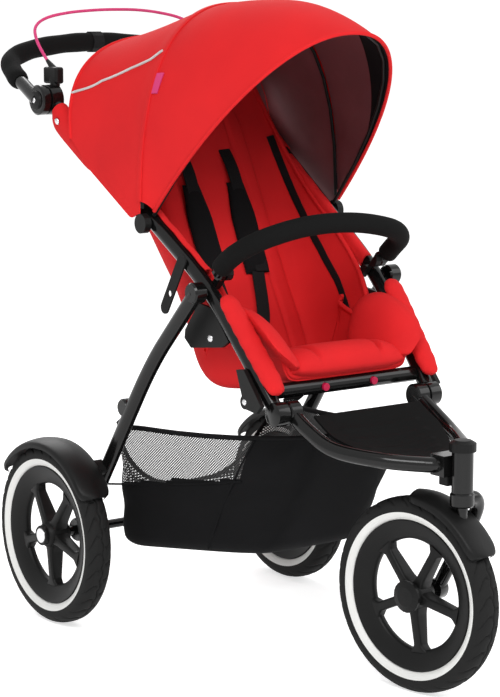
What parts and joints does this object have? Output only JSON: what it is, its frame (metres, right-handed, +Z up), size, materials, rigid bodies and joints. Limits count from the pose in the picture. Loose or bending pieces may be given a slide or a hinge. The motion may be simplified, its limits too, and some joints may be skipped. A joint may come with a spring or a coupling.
{
  "type": "three-wheel stroller",
  "caption": "All-terrain three-wheel stroller with air tyres, a swivelling one-sided front fork, padded bucket seat, folding canopy, bumper bar and a folding frame.",
  "frame": {"origin": "on the floor, under the middle of the bounding box", "axes": "+Z up, forward is -Y, the child's right is -X"},
  "size_m": [0.5658, 1.0851, 1.0563],
  "materials": {
    "red_fabric": "woven polyester",
    "black_fabric": "woven polyester and webbing",
    "black_plastic": "moulded, fine grain",
    "black_paint": "gloss powder coat",
    "foam": "closed-cell foam",
    "rubber": "matt",
    "tyre": "black tread, pale side wall",
    "magenta": "satin",
    "steel": "plated"
  },
  "bodies": {
    "main_frame": {"accessory_bracket_l": "black_plastic", "accessory_bracket_r": "black_plastic", "back_cross_tube": "black_paint", "basket": "black_fabric", "bumper_bracket_l": "black_plastic", "bumper_bracket_r": "black_plastic", "cable_anchor_l": "black_plastic", "cable_anchor_r": "black_plastic", "fold_cable": "magenta", "frame_strap": "rubber", "gusset_plate_l": "black_plastic", "gusset_plate_r": "black_plastic", "harness_pad_l": "black_fabric", "harness_pad_r": "black_fabric", "hood_clamp_l": "black_plastic", "hood_clamp_r": "black_plastic", "main_tube_l": "black_paint", "main_tube_r": "black_paint", "rear_panel": "red_fabric", "seat_back": "red_fabric", "seat_base": "red_fabric", "seat_cross_tube": "black_paint", "seat_wing_l": "red_fabric", "seat_wing_r": "red_fabric", "tube_sleeve_l": "red_fabric", "tube_sleeve_r": "red_fabric"},
    "rear_legs": {"rear_leg_r": "black_paint", "rear_leg_l": "black_paint", "rear_axle": "steel", "rear_fender_r": "black_plastic", "rear_fender_l": "black_plastic"},
    "rear_wheel_r": {"tyre_rear_r": "tyre", "rim_rear_r": "black_plastic", "hub_cap_rear_r": "steel"},
    "rear_wheel_l": {"tyre_rear_l": "tyre", "rim_rear_l": "black_plastic", "hub_cap_rear_l": "steel"},
    "brake_pedal": {"brake_pedal": "black_plastic"},
    "front_frame": {"front_tube_r": "black_paint", "front_tube_l": "black_paint", "head_tube": "black_paint", "head_cap": "black_plastic", "footwell": "black_plastic"},
    "swivel_lock": {"swivel_lock": "black_plastic"},
    "front_fork": {"fork": "black_paint", "front_fender": "black_plastic"},
    "front_wheel": {"tyre_front": "tyre", "rim_front": "black_plastic", "hub_cap_front": "black_plastic"},
    "handlebar": {"handle_tube": "black_plastic", "handle_grip": "foam", "wrist_strap_band": "black_fabric"},
    "bumper_bar": {"bumper_tube": "black_plastic", "bumper_foam": "foam"},
    "canopy_mid": {"mid_bow": "black_plastic"},
    "canopy_front": {"front_bow": "black_plastic", "front_panel": "red_fabric"},
    "button_r": {"button_r": "magenta"},
    "button_l": {"button_l": "magenta"}
  },
  "joints": [
    {"name": "leg_fold", "type": "hinge", "parent": "main_frame", "child": "rear_legs", "pos_m": [0, -0.0727, 0.598], "axis": [-1, 0, 0], "range_deg": [0, 22], "deforming": ["basket"]},
    {"name": "front_fold", "type": "hinge", "parent": "main_frame", "child": "front_frame", "pos_m": [0, -0.2257, 0.423], "axis": [1, 0, 0], "range_deg": [0, 55], "deforming": ["basket"]},
    {"name": "rear_wheel_spin_r", "type": "hinge", "parent": "rear_legs", "child": "rear_wheel_r", "pos_m": [-0.2515, 0.2723, 0.1525], "axis": [1, 0, 0], "continuous": true},
    {"name": "rear_wheel_spin_l", "type": "hinge", "parent": "rear_legs", "child": "rear_wheel_l", "pos_m": [0.2515, 0.2723, 0.1525], "axis": [1, 0, 0], "continuous": true},
    {"name": "brake_press", "type": "hinge", "parent": "rear_legs", "child": "brake_pedal", "pos_m": [0, 0.2723, 0.1525], "axis": [-1, 0, 0], "range_deg": [0, 20]},
    {"name": "fork_swivel", "type": "hinge", "parent": "front_frame", "child": "front_fork", "pos_m": [0, -0.4767, 0.326], "axis": [0, 0, 1], "continuous": true},
    {"name": "front_wheel_spin", "type": "hinge", "parent": "front_fork", "child": "front_wheel", "pos_m": [-0.01172, -0.39049, 0.1525], "axis": [0.9909, 0.1347, 0], "continuous": true},
    {"name": "handle_angle", "type": "hinge", "parent": "main_frame", "child": "handlebar", "pos_m": [0, 0.3553, 0.883], "axis": [1, 0, 0], "range_deg": [-60, 10]},
    {"name": "bumper_tilt", "type": "hinge", "parent": "main_frame", "child": "bumper_bar", "pos_m": [0, -0.0877, 0.628], "axis": [1, 0, 0], "range_deg": [-15, 50]},
    {"name": "canopy_fold", "type": "hinge", "parent": "main_frame", "child": "canopy_mid", "pos_m": [0, 0.0753, 0.695], "axis": [-1, 0, 0], "range_deg": [0, 14.5], "deforming": ["rear_panel"]},
    {"name": "canopy_front_fold", "type": "hinge", "parent": "canopy_mid", "child": "canopy_front", "pos_m": [0, 0.0753, 0.695], "axis": [-1, 0, 0], "range_deg": [0, 21.75], "deforming": ["front_panel"]},
    {"name": "button_press_r", "type": "slide", "parent": "main_frame", "child": "button_r", "axis": [0, 1, 0], "range_m": [0, 0.003], "stiffness_N_per_m": 300},
    {"name": "button_press_l", "type": "slide", "parent": "main_frame", "child": "button_l", "axis": [0, 1, 0], "range_m": [0, 0.003], "stiffness_N_per_m": 300},
    {"name": "swivel_lock_slide", "type": "slide", "parent": "front_frame", "child": "swivel_lock", "axis": [0, 0, -1], "range_m": [0, 0.005]}
  ],
  "couplings": [
    {"joint": "front_fold", "follows": "leg_fold", "ratio": 2.5},
    {"joint": "canopy_front_fold", "follows": "canopy_fold", "ratio": 1.5}
  ]
}
